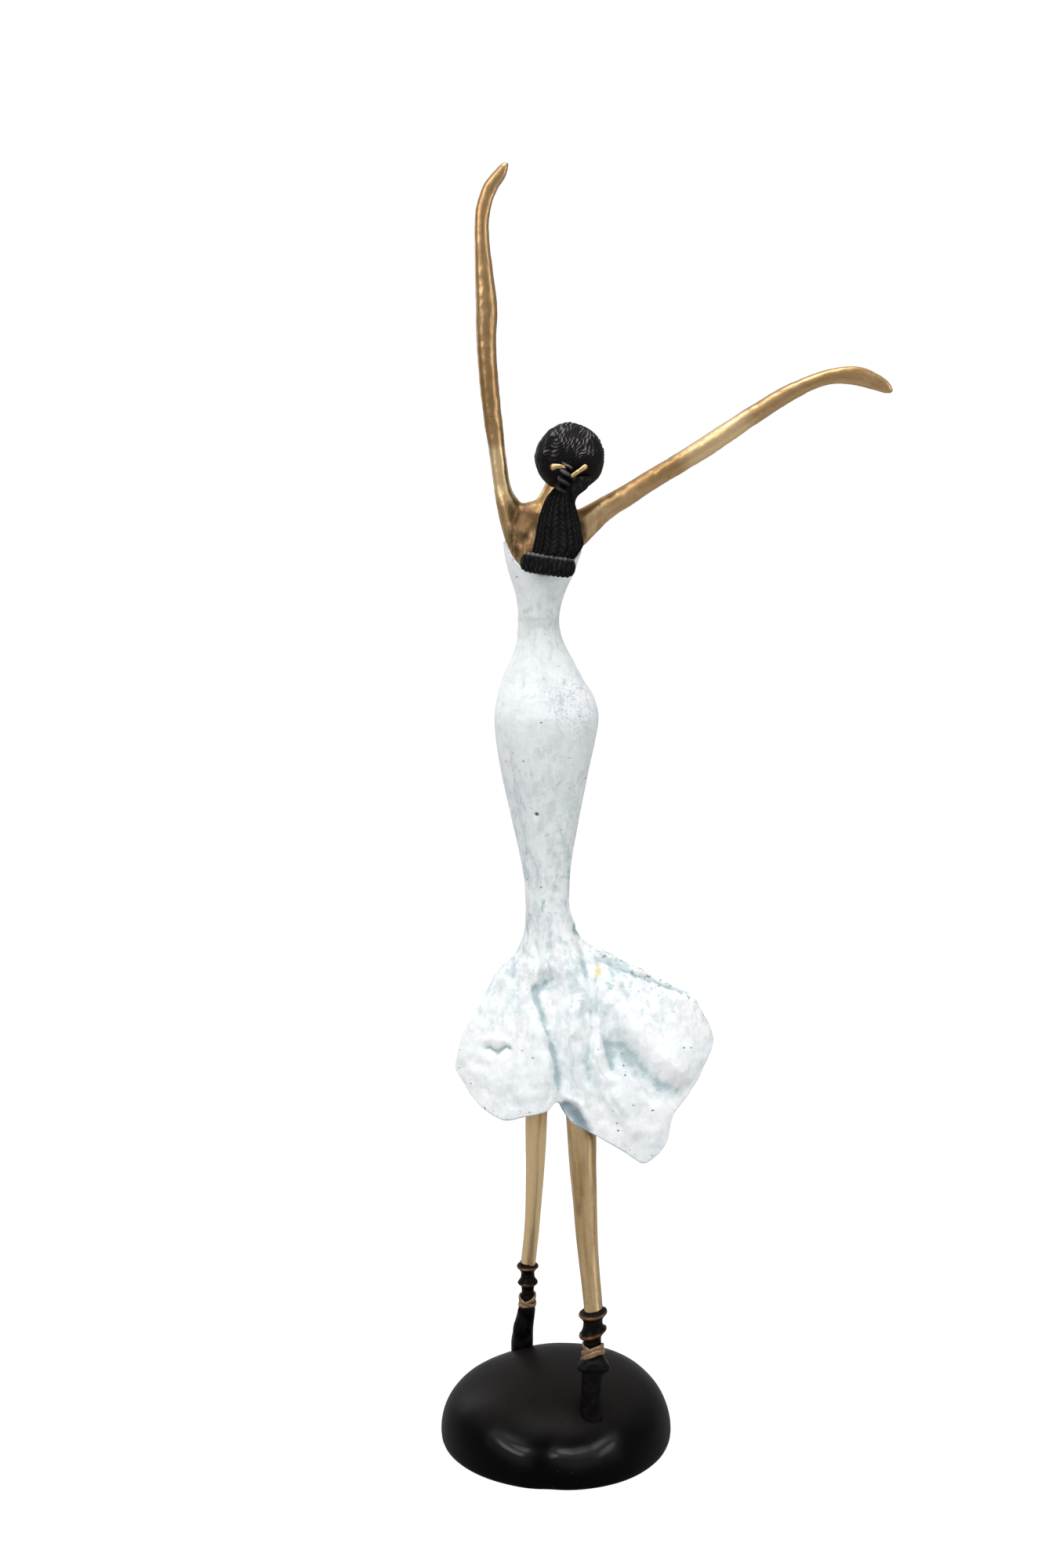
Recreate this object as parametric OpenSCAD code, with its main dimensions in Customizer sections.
// Bronze dancer on a domed base, built from separate castings that are pinned and brazed together.
// The origin is the middle of the base's underside. The figure looks along +Y and +Z is up.

/* [Base] */
// Diameter of the domed base
base_w = 94; // [70:1:140]
// Height of the dome at its crown
base_h = 33; // [24:1:48]
// Wall of the hollow base casting
base_wall = 4; // [2.5:0.5:7]

/* [Figure] */
// Height from the crown of the base to the raised fingertips
body_h = 467; // [360:1:600]
// Distance from the centre line to the tip of the outstretched hand
reach = 124; // [95:1:160]
// Thickness of limbs and body, as a share of the usual figure
girth = 1; // [0.8:0.01:1.2]

/* [Dress] */
// Wall of the flared skirt
skirt_wall = 2.2; // [1.2:0.1:3.5]
// Length of the skirt below its ceiling, as a share of the usual skirt
skirt_drop = 1; // [0.8:0.01:1.2]

/* [Head] */
// Radius of the head over the hair
head_r = 13.1; // [11:0.1:16]
// Thickness of the layer of hair
hair_t = 1.4; // [0.8:0.1:2.5]

/* [Ankles] */
// Radius of the ankle core on the leg that stands behind
core_left_r = 2; // [1.4:0.1:2.4]
// Radius of the ankle core on the leg that stands in front
core_right_r = 2.6; // [1.8:0.1:3.2]

/* [Fasteners] */
// Radius of the studs that hold the feet
stud_r = 1.5; // [1:0.1:2]
// Radius of the locating pins at the brazed joints
pin_r = 1.2; // [0.8:0.1:1.4]
// Length of each locating pin
pin_l = 8; // [5:0.5:12]

/* [Hidden] */

// usual sizes that the tables below are written for
usual_h = 467;
usual_reach = 124;
kz = body_h / usual_h;
kx = reach / usual_reach;
far = 400;
base_r = base_w / 2;

// ---- shared shape functions ----

function clamped(list, i) = list[max(0, min(len(list) - 1, i))];

function cubic(a, b, c, d, f) = 0.5 * (2 * b + (c - a) * f + (2 * a - 5 * b + 4 * c - d) * f * f
    + (3 * b - a - 3 * c + d) * f * f * f);

// a smooth curve through a list of stations, u counts the stations
function through(list, u) =
    let (i = max(0, min(floor(u), len(list) - 2)))
    cubic(clamped(list, i - 1), list[i], list[i + 1], clamped(list, i + 2), u - i);

// the same curve closed into a ring
function ring_through(list, u) =
    let (n = len(list), i = floor(u), f = u - i)
    cubic(list[(i + n - 1) % n], list[i % n], list[(i + 1) % n], list[(i + 2) % n], f);

function unit(v) = v / norm(v);

// a point of the figure: x and y from the centre line, z above the crown of the base
function at(x, y, z) = [x * kx, y * girth, base_h + z * kz];

// a station of a limb: a point with the half width and half depth of the limb there
function station(s) = concat(at(s[0], s[1], s[2]), [s[3] * girth, s[4] * girth]);

// height of the dome's outer surface over a point
foot_edge = 3.5;
function dome_z(x, y) =
    let (left = max(0, 1 - (x * x + y * y) / (base_r * base_r)))
    foot_edge + (base_h - foot_edge) * sqrt(left);

// the ring of points round one station, either level or square to the curve
function ring_at(list, u, around, level) =
    let (s = through(list, u),
        ahead = through(list, min(len(list) - 1, u + 0.05)),
        behind = through(list, max(0, u - 0.05)),
        along = level ? [0, 0, 1] : unit([ahead[0] - behind[0], ahead[1] - behind[1], ahead[2] - behind[2]]),
        side = unit(cross([0, 1, 0], along)),
        depth = cross(along, side))
    [for (k = [0:around - 1]) [s[0], s[1], s[2]] + side * s[3] * cos(360 * k / around)
        + depth * s[4] * sin(360 * k / around)];

// faces of a tube of rings with both ends closed
function tube_faces(rings, around) = concat(
    [for (j = [0:rings - 2], k = [0:around - 1], h = [0, 1])
        let (a = j * around + k, b = j * around + (k + 1) % around)
        h == 0 ? [a, a + around, b] : [b, a + around, b + around]],
    [[for (k = [0:around - 1]) k]],
    [[for (k = [0:around - 1]) rings * around - 1 - k]]);

// a limb carried through its stations
module limb(table, between = 2, around = 20, level = true) {
    list = [for (s = table) station(s)];
    rings = (len(list) - 1) * between + 1;
    points = [for (j = [0:rings - 1], p = ring_at(list, j / between, around, level)) p];
    polyhedron(points, tube_faces(rings, around), convexity = 6);
}

// everything above a level
module above(z) {
    translate([-far / 2, -far / 2, z])
        cube([far, far, far]);
}

// a round bar from one point to another
module bar(a, b, r, sides = 32) {
    d = b - a;
    translate(a)
        rotate([0, acos(d[2] / norm(d)), atan2(d[1], d[0])])
            cylinder(h = norm(d), r = r, $fn = sides);
}

// ---- the base ----

left_toe = [-0.294, 0.564] * base_r;
right_toe = [0.281, -0.606] * base_r;
boss_r = 6;
boss_z = 12;
foot_flat = 2.8;
foot_bevel = [0.9, 1.1];

function dome_profile(r, h, edge) = [for (t = [0:5:90]) [r * cos(t), edge + (h - edge) * sin(t)]];

module dome_solid() {
    foot = [[0, 0], [base_r - foot_flat, 0], [base_r - foot_bevel[0], foot_bevel[1]]];
    rotate_extrude($fn = 96)
        polygon(concat(foot, dome_profile(base_r, base_h, foot_edge)));
}

module dome_hollow() {
    inner_r = base_r - base_wall;
    rotate_extrude($fn = 96)
        polygon(concat([[0, -1], [inner_r, -1]], dome_profile(inner_r, base_h - base_wall, foot_edge)));
}

module at_feet() {
    for (foot = [left_toe, right_toe])
        translate([foot[0], foot[1], 0])
            children();
}

module base_dome() {
    color("#241f1c")
    difference() {
        dome_solid();
        difference() {
            dome_hollow();
            at_feet()
                translate([0, 0, boss_z])
                    cylinder(h = base_h, r = boss_r, $fn = 48);
        }
        at_feet()
            cylinder(h = 2 * base_h, r = stud_r + 0.1, $fn = 32);
    }
}

// ---- fasteners under the base ----

washer_r = 3.5;
washer_t = 1;
nut_flats = 5.5;
nut_h = 2.4;
stud_up = 12;
nut_z = boss_z - washer_t - nut_h;

module foot_studs() {
    color("#8f8a80")
    for (foot = [left_toe, right_toe])
        translate([foot[0], foot[1], nut_z - 1.5])
            cylinder(h = dome_z(foot[0], foot[1]) + stud_up - nut_z + 1.5, r = stud_r, $fn = 32);
}

module foot_washers() {
    color("#b9b4a8")
    at_feet()
        translate([0, 0, boss_z - washer_t])
            difference() {
                cylinder(h = washer_t, r = washer_r, $fn = 48);
                translate([0, 0, -1])
                    cylinder(h = washer_t + 2, r = stud_r + 0.1, $fn = 32);
            }
}

module foot_nuts() {
    color("#a49c8c")
    at_feet()
        translate([0, 0, nut_z])
            difference() {
                cylinder(h = nut_h, r = nut_flats / sqrt(3), $fn = 6);
                translate([0, 0, -1])
                    cylinder(h = nut_h + 2, r = stud_r, $fn = 32);
            }
}

// ---- shoes, straps and ankle cuffs ----

// heights above the crown: top of the shoe, top of the strap, top of the cuff
left_levels = [13, 17.5, 30.5];
right_levels = [15, 21.5, 33];
left_ankle = [-11.4, 24.8];
right_ankle = [13.9, -28];
left_heel = 0.4;
right_heel = 3;
sole_w = 4.6;
sole_d = 5.2;
sole_under = 6;
waist_w = 4.3;
waist_d = 4.2;
counter_w = 4.2;
shoe_top = 4;

// the shoe stands on its toe, the heel set back by a given amount
module shoe_body(toe, ankle, top, heel) {
    floor_z = (dome_z(toe[0], toe[1]) - base_h) / kz;
    toe_x = toe[0] / kx;
    toe_y = toe[1] / girth;
    difference() {
        limb([[toe_x, toe_y, floor_z - sole_under, sole_w, sole_d],
            [toe_x, toe_y, floor_z + 2, 4.5, 4.8],
            [(toe_x + ankle[0]) / 2, (toe_y + ankle[1]) / 2, (floor_z + top) / 2, waist_w, waist_d],
            [ankle[0], ankle[1] - heel, top - 6, sole_w + heel * 0.2, waist_w + heel * 0.3],
            [ankle[0], ankle[1] - heel, top - 3, counter_w + heel / 2, counter_w + heel * 0.4],
            [ankle[0], ankle[1], top, shoe_top, shoe_top]], 2, 24);
        dome_solid();
        translate([toe[0], toe[1], 0])
            cylinder(h = dome_z(toe[0], toe[1]) + stud_up, r = stud_r, $fn = 32);
    }
}

module shoe_left() {
    color("#17130f")
    shoe_body(left_toe, left_ankle, left_levels[0], left_heel);
}

module shoe_right() {
    color("#17130f")
    shoe_body(right_toe, right_ankle, right_levels[0], right_heel);
}

// radii of the rings at even steps up each band
left_strap_radii = [3.7, 3.5, 3.1, 3.3, 2.7];
right_strap_radii = [4, 4.3, 3.9, 4.1, 3.5];
left_cuff_radii = [2.6, 2.6, 2.8, 3.9, 4, 3.2, 2.8, 2.9, 3.4, 4.1, 3.8];
right_cuff_radii = [3.4, 3.6, 4.6, 4.7, 3.7, 3.4, 3.4, 3.7, 4.9, 4.6];

module ankle_ring(ankle, z0, z1, core_r, radii) {
    low = at(ankle[0], ankle[1], z0);
    tall = (z1 - z0) * kz;
    last = len(radii) - 1;
    wall = [for (i = [0:last]) [radii[i], tall * i / last]];
    translate(low)
        rotate_extrude($fn = 64)
            polygon(concat([[core_r, 0]], wall, [[core_r, tall]]));
}

module shoe_strap_left() {
    color("#8a6a3c")
    ankle_ring(left_ankle, left_levels[0], left_levels[1], core_left_r, left_strap_radii);
}

module shoe_strap_right() {
    color("#8a6a3c")
    ankle_ring(right_ankle, right_levels[0], right_levels[1], core_right_r, right_strap_radii);
}

module ankle_cuff_left() {
    color("#2b2520")
    ankle_ring(left_ankle, left_levels[1], left_levels[2], core_left_r, left_cuff_radii);
}

module ankle_cuff_right() {
    color("#2b2520")
    ankle_ring(right_ankle, right_levels[1], right_levels[2], core_right_r, right_cuff_radii);
}

// ---- legs ----

// where the legs meet the ceiling inside the skirt, above the crown
ceiling = 163;
left_top = [-7, 5];
right_top = [3.6, -5];

left_leg_table = [[left_ankle[0], left_ankle[1], left_levels[2], 3.1, 3.1],
    [-9.7, 21.6, 50, 3.2, 3.3],
    [-8.7, 18.2, 71, 3.6, 3.8],
    [-8.2, 14.6, 96, 4.3, 4.6],
    [-7.3, 9.8, 130, 4.2, 4.8],
    [left_top[0], left_top[1], ceiling, 3.8, 4.4]];

right_leg_table = [[right_ankle[0], right_ankle[1], right_levels[2], 3.7, 3.7],
    [11.8, -23.6, 54.5, 4.0, 4.2],
    [10, -18.6, 84.5, 5.05, 5.2],
    [8.9, -14.2, 108, 5.8, 5.9],
    [6.2, -9.4, 135, 5.3, 5.6],
    [right_top[0], right_top[1], ceiling, 4.4, 4.8]];

module leg(table, ankle, levels, core_r) {
    difference() {
        union() {
            limb(table, 3, 20);
            translate(at(ankle[0], ankle[1], levels[0]))
                cylinder(h = (levels[2] - levels[0] + 2) * kz, r = core_r, $fn = 48);
        }
        pins();
    }
}

module leg_left() {
    color("#b98f45")
    leg(left_leg_table, left_ankle, left_levels, core_left_r);
}

module leg_right() {
    color("#b98f45")
    leg(right_leg_table, right_ankle, right_levels, core_right_r);
}

// ---- locating pins ----

module pin_at(middle, along) {
    bar(middle - unit(along) * pin_l / 2, middle + unit(along) * pin_l / 2, pin_r);
}

arm_left_joint = [-18.8, 0, 343];
arm_right_joint = [16, 0, 340.6];
arm_right_way = [0.81, 0, 0.586];
neck_joint = [-1.6, -0.5, 344];
knee_joint = [-4.1, 0, 191];

module pins() {
    pin_at(at(left_top[0], left_top[1], ceiling), [0, 0, 1]);
    pin_at(at(right_top[0], right_top[1], ceiling), [0, 0, 1]);
    pin_at(at(knee_joint[0], knee_joint[1], knee_joint[2]), [0, 0, 1]);
    pin_at(at(arm_left_joint[0], arm_left_joint[1], arm_left_joint[2]), [0, 0, 1]);
    pin_at(at(arm_right_joint[0], arm_right_joint[1], arm_right_joint[2]), arm_right_way);
    pin_at(at(neck_joint[0], neck_joint[1], neck_joint[2]), [0, 0, 1]);
}

module joint_pins() {
    color("#c9c2b0")
    pins();
}

// ---- skirt ----

// the hem runs round from the right hand end by the far side, x, y and height above the crown
hem = [[61, 0, 134], [55, 10, 122], [42, 18, 107], [26, 24, 91], [11, 26, 99], [-3, 26, 106],
    [-20, 22, 103], [-33, 14, 115], [-40.3, 0, 123], [-36.8, -9, 118.4], [-30.7, -17, 112.8],
    [-21.6, -23, 108.5], [-13.2, -26, 110.5], [-4.5, -25, 112.3], [0.6, -22, 115],
    [6, -21.5, 107.4], [14.6, -24.5, 102.6], [25.5, -24.5, 96], [33.6, -23, 90.8], [41.5, -21, 97.7],
    [44.5, -18, 108.3], [49.5, -15, 114], [56.8, -8, 124]];

skirt_around = 69;
skirt_down = 10;
knee_w = 8.45;
knee_d = 7.4;
knee_fall = 27;
flare_rise = 16;
flare_share = 0.85;
flare_more = 0.07;
flare_span = 40;
look_round = 0.15;
look_down = 0.02;
ceiling_z = base_h + ceiling * kz;

function knee_point(u) =
    let (a = 360 * u / len(hem))
    at(knee_joint[0], knee_joint[1], knee_joint[2]) + [knee_w * girth * cos(a), knee_d * girth * sin(a), 0];

function hem_point(u) =
    let (p = ring_through(hem, u))
    at(p[0], p[1], ceiling - (ceiling - p[2]) * skirt_drop);

// how far out the shoulder of the flare sits: squarest on the blown side
function flare_out(x) = flare_share + flare_more * min(1, max(-1, x / flare_span));

// one point of the skirt's outer face: u runs round, t runs from the knee down to the hem
function skirt_point(u, t) =
    let (k = knee_point(u),
        h = hem_point(u),
        low = k - [0, 0, knee_fall * kz],
        flare = low + (h - low) * flare_out(h[0]),
        shoulder = [flare[0], flare[1], (h[2] + low[2]) / 2 + flare_rise * kz],
        s = 1 - t)
    k * s * s * s + low * 3 * s * s * t + shoulder * 3 * s * t * t + h * t * t * t;

function skirt_normal(u, t) =
    let (n = len(hem))
    unit(cross(skirt_point((u + look_round) % n, t) - skirt_point((u + n - look_round) % n, t),
        skirt_point(u, max(0, t - look_down)) - skirt_point(u, min(1, t + look_down))));

function skirt_inside(u, t) = skirt_point(u, t) - skirt_normal(u, t) * skirt_wall;

// how far down the inner face passes the ceiling, found by halving
function ceiling_t(u, low = 0.2, high = 0.95, turns = 14) =
    let (mid = (low + high) / 2)
    turns == 0 ? mid
    : skirt_inside(u, mid)[2] > ceiling_z ? ceiling_t(u, mid, high, turns - 1)
    : ceiling_t(u, low, mid, turns - 1);

function skirt_rows() = concat(
    [for (j = [0:skirt_down], k = [0:skirt_around - 1])
        skirt_point(len(hem) * k / skirt_around, j / skirt_down)],
    [for (j = [0:skirt_down], k = [0:skirt_around - 1])
        let (u = len(hem) * k / skirt_around,
            top = ceiling_t(u),
            p = skirt_inside(u, 1 - (1 - top) * j / skirt_down))
        j == skirt_down ? [p[0], p[1], ceiling_z] : p]);

module skirt() {
    around = skirt_around;
    rings = 2 * (skirt_down + 1);
    faces = concat(
        [for (j = [0:rings - 2], k = [0:around - 1], h = [0, 1])
            let (a = j * around + k, b = j * around + (k + 1) % around)
            h == 0 ? [a, b, a + around] : [b, b + around, a + around]],
        [[for (k = [0:around - 1]) around - 1 - k]],
        [[for (k = [0:around - 1]) (rings - 1) * around + k]]);
    color("#dcd8cd")
    difference() {
        polyhedron(skirt_rows(), faces, convexity = 8);
        pins();
    }
}

// ---- dress ----

neckline_r = 16 * girth;
neckline_tip = 10;
neckline_mid = [-5, 0, 333.5];
neckline_top = 328.4;

dress_table = [[knee_joint[0], knee_joint[1], knee_joint[2], knee_w, knee_d],
    [-4.7, 0, 207, 9.96, 8.2],
    [-4.9, -0.6, 227, 13.85, 10.4],
    [-5.1, -1.6, 245, 17.4, 13],
    [-4.6, -2.4, 262, 19.8, 14.6],
    [-5, -2, 270, 18.5, 13.6],
    [-6, -1.2, 277, 15.4, 11.4],
    [-6.4, -0.6, 285, 11.6, 9.2],
    [-6.9, -0.2, 291, 8.9, 7.9],
    [-7.3, 0, 297, 7.8, 7.3],
    [-7.3, 0, 303, 8, 7.5],
    [-7, -0.2, 310, 9.6, 8.3],
    [-6.6, -0.4, 317, 12.2, 9.2],
    [-6.2, -0.6, 324, 14.2, 9.6],
    [-6, -0.6, 330, 14.8, 9.4]];

// all that lies below the scooped neckline
module under_neckline() {
    difference() {
        translate([-far / 2, -far / 2, at(0, 0, neckline_top)[2] - far])
            cube([far, far, far]);
        translate(at(neckline_mid[0], neckline_mid[1], neckline_mid[2]))
            rotate([90 + neckline_tip, 0, 0])
                cylinder(h = far, r = neckline_r, center = true, $fn = 96);
    }
}

module dress() {
    color("#dcd8cd")
    difference() {
        intersection() {
            limb(dress_table, 2, 32);
            under_neckline();
        }
        pins();
    }
}

// ---- torso, arms and hands ----

chest_table = [[-7.2, -0.5, 309, 8, 7.2],
    [-6.6, -0.8, 317, 11.6, 8.2],
    [-6, -0.8, 325, 13.7, 8.4],
    [-5.9, -0.6, 331, 14.3, 8],
    [-6, -0.4, 336, 13.8, 7],
    [-6.2, -0.3, 341.4, 11, 5.2],
    [-6.4, -0.2, 344.2, 5, 2.4]];

neck_table = [[-3, -0.6, 336, 9, 7],
    [neck_joint[0], neck_joint[1], neck_joint[2], 7.2, 5.6],
    [0.2, -0.6, 349, 6.2, 5.4],
    [2.2, -1.2, 355, 6, 5.4],
    [3, -1.5, 358, 5, 5]];

left_arm_table = [[-15.5, 0, 330, 5, 5.5],
    [-17.6, 0, 338, 5, 5],
    [arm_left_joint[0], arm_left_joint[1], arm_left_joint[2], 4.7, 4.6],
    [-21.4, 0, 350, 3.35, 3.4],
    [-23.3, 0, 364, 3.3, 3.3],
    [-26.1, 0, 387, 3.6, 3.5],
    [-27.1, 0, 403, 3.55, 3.4],
    [-26.9, 0, 415, 3.75, 3.3],
    [-27.8, 0, 428, 3.2, 3],
    [-28.6, 0, 441, 2.6, 2.6],
    [-28.2, 0, 450, 2.7, 2.1],
    [-25.8, 0, 457.5, 3.05, 1.8],
    [-23.2, 0, 461.5, 2.9, 1.6],
    [-20.7, 0, 465.5, 1.6, 1.1],
    [-19.6, 0, 467, 0.5, 0.4]];

right_arm_table = [[-4, 0, 326, 6, 6.5],
    [6, 0, 333, 6.4, 6],
    [arm_right_joint[0], arm_right_joint[1], arm_right_joint[2], 4.6, 4.5],
    [22.8, 0, 344.8, 4, 3.8],
    [35, 0, 352.3, 3.85, 3.5],
    [53, 0, 363.2, 3.6, 3.3],
    [70.2, 0, 374.6, 3.6, 3.2],
    [84, 0, 383.3, 3.2, 2.8],
    [93.2, 0, 387.8, 2.8, 2.4],
    [101, 0, 390.2, 2.9, 2],
    [110, 0, 390.4, 3.5, 1.7],
    [117.6, 0, 388, 3.2, 1.5],
    [122, 0, 385.7, 2, 1.1],
    [124, 0, 384.5, 0.6, 0.4]];

// all that lies beyond the joint of the outstretched arm
module beyond_right_joint() {
    translate(at(arm_right_joint[0], arm_right_joint[1], arm_right_joint[2]))
        rotate([0, acos(arm_right_way[2] / norm(arm_right_way)), 0])
            translate([-far / 2, -far / 2, 0])
                cube([far, far, far]);
}

module torso() {
    color("#b98f45")
    difference() {
        union() {
            limb(chest_table, 2, 28);
            difference() {
                limb(neck_table, 2, 24);
                above(at(0, 0, neck_joint[2])[2]);
            }
            difference() {
                limb(left_arm_table, 2, 20);
                above(at(0, 0, arm_left_joint[2])[2]);
            }
            difference() {
                limb(right_arm_table, 2, 20, false);
                beyond_right_joint();
            }
        }
        under_neckline();
        pins();
    }
}

module arm_left() {
    color("#c39a4c")
    difference() {
        intersection() {
            limb(left_arm_table, 2, 20);
            above(at(0, 0, arm_left_joint[2])[2]);
        }
        pins();
    }
}

module arm_right() {
    color("#c39a4c")
    difference() {
        intersection() {
            limb(right_arm_table, 2, 20, false);
            beyond_right_joint();
        }
        pins();
    }
}

// ---- head and hair ----

head_mid = at(3.7, -2, 360);
skull_r = head_r - hair_t;
face_turn = 15;
hairline = 5;
hairline_tilt = 120;

// the jaw and the nose, as shares of the skull's radius
jaw_forward = 0.4;
jaw_drop = 0.56;
jaw_r = 0.53;
nose_drop = 0.1;
nose_r = 0.12;

module head_solid() {
    translate(head_mid)
        rotate([0, 0, -face_turn]) {
            sphere(r = skull_r, $fn = 64);
            translate([0, jaw_forward * skull_r, -jaw_drop * skull_r])
                sphere(r = jaw_r * skull_r, $fn = 48);
            translate([0, skull_r, -nose_drop * skull_r])
                sphere(r = nose_r * skull_r, $fn = 32);
        }
    intersection() {
        limb(neck_table, 2, 24);
        above(at(0, 0, neck_joint[2])[2]);
    }
}

module head() {
    color("#c39a4c")
    difference() {
        head_solid();
        pins();
    }
}

module hair_cap() {
    color("#221c18")
    difference() {
        translate(head_mid)
            sphere(r = head_r, $fn = 64);
        head_solid();
        translate(head_mid)
            rotate([-hairline_tilt, 0, -face_turn])
                translate([-far / 2, -far / 2, hairline])
                    cube([far, far, far]);
    }
}

// the hair is gathered behind the head and hangs clear of the back
tie_gap = 1.2;
tie_y = (head_mid[1] - head_r - tie_gap) / girth;
tie_r = 0.8;
twist_low = 346.5;
twist_end = [0.6, tie_y, twist_low, 2.8, 2.3];
end_roll_mid = [-4.3, tie_y + tie_gap, 322.1];
end_roll_r = 3.1;
end_roll_half = 7.2;
end_roll_slant = 8;

module tie_bar_left() {
    bar(at(-2.3, tie_y + 1.5, 357.1), at(1.9, tie_y + 0.2, 357.4), tie_r);
}

module tie_bar_right() {
    bar(at(3.2, tie_y + 0.1, 354), at(9.6, tie_y + 1.5, 357.1), tie_r);
}

module hair_twist() {
    color("#2a211b")
    difference() {
        limb([[2.6, tie_y, 359.5, 1.7, 1.5],
            [2.2, tie_y, 355, 2.3, 2],
            [1.3, tie_y, 350.5, 2.5, 2.2],
            twist_end], 2, 20);
        translate(head_mid)
            sphere(r = head_r, $fn = 64);
        tie_bar_left();
        tie_bar_right();
    }
}

module hair_tie_left() {
    color("#d2a24f")
    tie_bar_left();
}

module hair_tie_right() {
    color("#d2a24f")
    tie_bar_right();
}

// a round-ended roll, a little slanted
module end_roll() {
    translate(at(end_roll_mid[0], end_roll_mid[1], end_roll_mid[2]))
        rotate([0, 90 + end_roll_slant, 0])
            rotate_extrude($fn = 48)
                polygon(concat([[0, -end_roll_half - end_roll_r]],
                    [for (t = [-75:15:0]) [end_roll_r * cos(t), end_roll_r * sin(t) - end_roll_half]],
                    [for (t = [0:15:75]) [end_roll_r * cos(t), end_roll_r * sin(t) + end_roll_half]],
                    [[0, end_roll_half + end_roll_r]]));
}

module ponytail() {
    color("#2a211b")
    difference() {
        limb([twist_end,
            [-0.1, tie_y + 0.2, 343.5, 5.3, 2.8],
            [-0.3, tie_y + 0.4, 339.3, 6.9, 3.1],
            [-0.3, tie_y + 0.8, 333.5, 8, 3.2],
            [-0.4, tie_y + 1.1, 328.9, 8.8, 3.1],
            [-1.6, tie_y + tie_gap, 324, 9.2, 2.6]], 2, 24);
        end_roll();
    }
}

module ponytail_end() {
    color("#2a211b")
    end_roll();
}

// ---- main switch ----

base_dome();
foot_studs();
foot_washers();
foot_nuts();
shoe_left();
shoe_right();
shoe_strap_left();
shoe_strap_right();
ankle_cuff_left();
ankle_cuff_right();
leg_left();
leg_right();
skirt();
dress();
torso();
arm_left();
arm_right();
joint_pins();
head();
hair_cap();
hair_twist();
hair_tie_left();
hair_tie_right();
ponytail();
ponytail_end();
